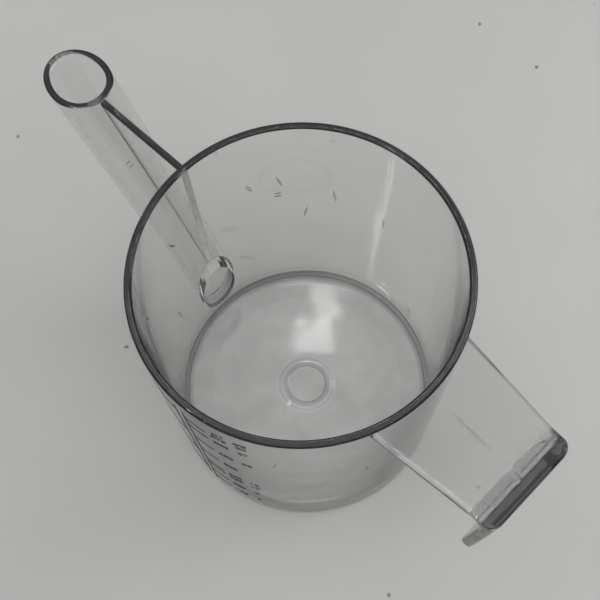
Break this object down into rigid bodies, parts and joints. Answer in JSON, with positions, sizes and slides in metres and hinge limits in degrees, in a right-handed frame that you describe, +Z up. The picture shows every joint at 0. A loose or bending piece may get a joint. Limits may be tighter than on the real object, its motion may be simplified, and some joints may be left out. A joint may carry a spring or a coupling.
{
  "type": "graduated measuring jug",
  "caption": "Clear plastic measuring jug with a printed volume scale, a turned-down handle and a slanted tube spout that pours from just above the floor.",
  "frame": {"origin": "centre of the cup's flat underside, on the table, on the cup's axis", "axes": "+Z up along the cup's axis, +X towards the handle, -X towards the spout, -Y towards the reader of the printed scale"},
  "size_m": [0.2236, 0.114, 0.12],
  "materials": {
    "clear_plastic": "clear, glossy, lightly scratched styrene-type moulding",
    "scale_ink": "thin matt screen-printed ink"
  },
  "bodies": {
    "root": {"cup_body": "clear_plastic", "spout_tube": "clear_plastic", "spout_web": "clear_plastic", "handle": "clear_plastic", "scale_spine": "scale_ink", "millilitre_marks": "scale_ink", "litre_marks": "scale_ink", "millilitre_numerals": "scale_ink", "ounce_numerals": "scale_ink", "litre_numerals": "scale_ink", "scale_heading": "scale_ink"}
  },
  "joints": []
}
